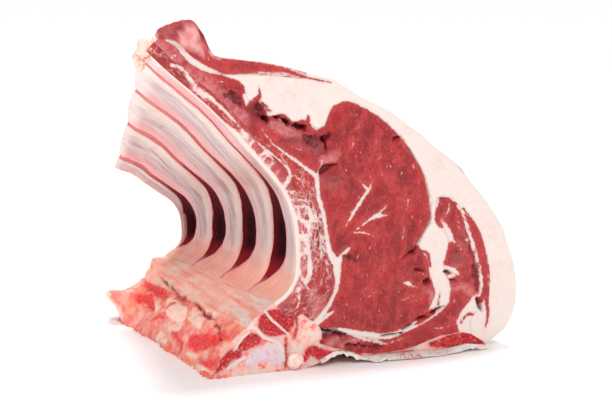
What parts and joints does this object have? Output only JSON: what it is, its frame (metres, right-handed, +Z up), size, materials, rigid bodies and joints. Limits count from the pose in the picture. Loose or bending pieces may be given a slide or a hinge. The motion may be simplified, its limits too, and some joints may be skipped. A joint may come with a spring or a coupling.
{
  "type": "rack of lamb",
  "caption": "Raw rack of lamb on the bone: curved ribs in a membrane, sawn backbone, cut face with eye of meat, muscles and marbling, and a thick fat cap.",
  "frame": {"origin": "middle of the bounding box at the surface it stands on", "axes": "+X from the rib side to the outside of the fat, +Y along the backbone from the near cut to the far cut, +Z up"},
  "size_m": [0.1488, 0.104, 0.1291],
  "materials": {
    "red_meat": "moist raw muscle, fine grain across the cut",
    "dark_meat": "dark wet muscle between the ribs",
    "marbled_meat": "red muscle in a web of white fat",
    "pale_meat": "thin pink muscle with a pale membrane",
    "fat": "firm white fat, faintly pink, satin",
    "rib_skin": "ribs under a thin glossy membrane",
    "sawn_bone": "sawn spongy bone, red marrow and white connective tissue"
  },
  "bodies": {
    "root": {"eye_muscle": "red_meat", "loin_muscle": "red_meat", "cap_muscle": "red_meat", "flat_muscle": "red_meat", "inner_muscle": "marbled_meat", "top_muscle": "pale_meat", "fat_cap": "fat", "fat_wedge": "fat", "fat_branch": "fat", "backbone": "sawn_bone", "feather_bones": "sawn_bone", "rib_1": "rib_skin", "rib_2": "rib_skin", "rib_3": "rib_skin", "rib_4": "rib_skin", "rib_5": "rib_skin", "rib_space_1": "dark_meat", "rib_space_2": "dark_meat", "rib_space_3": "dark_meat", "rib_space_4": "dark_meat"}
  },
  "joints": []
}
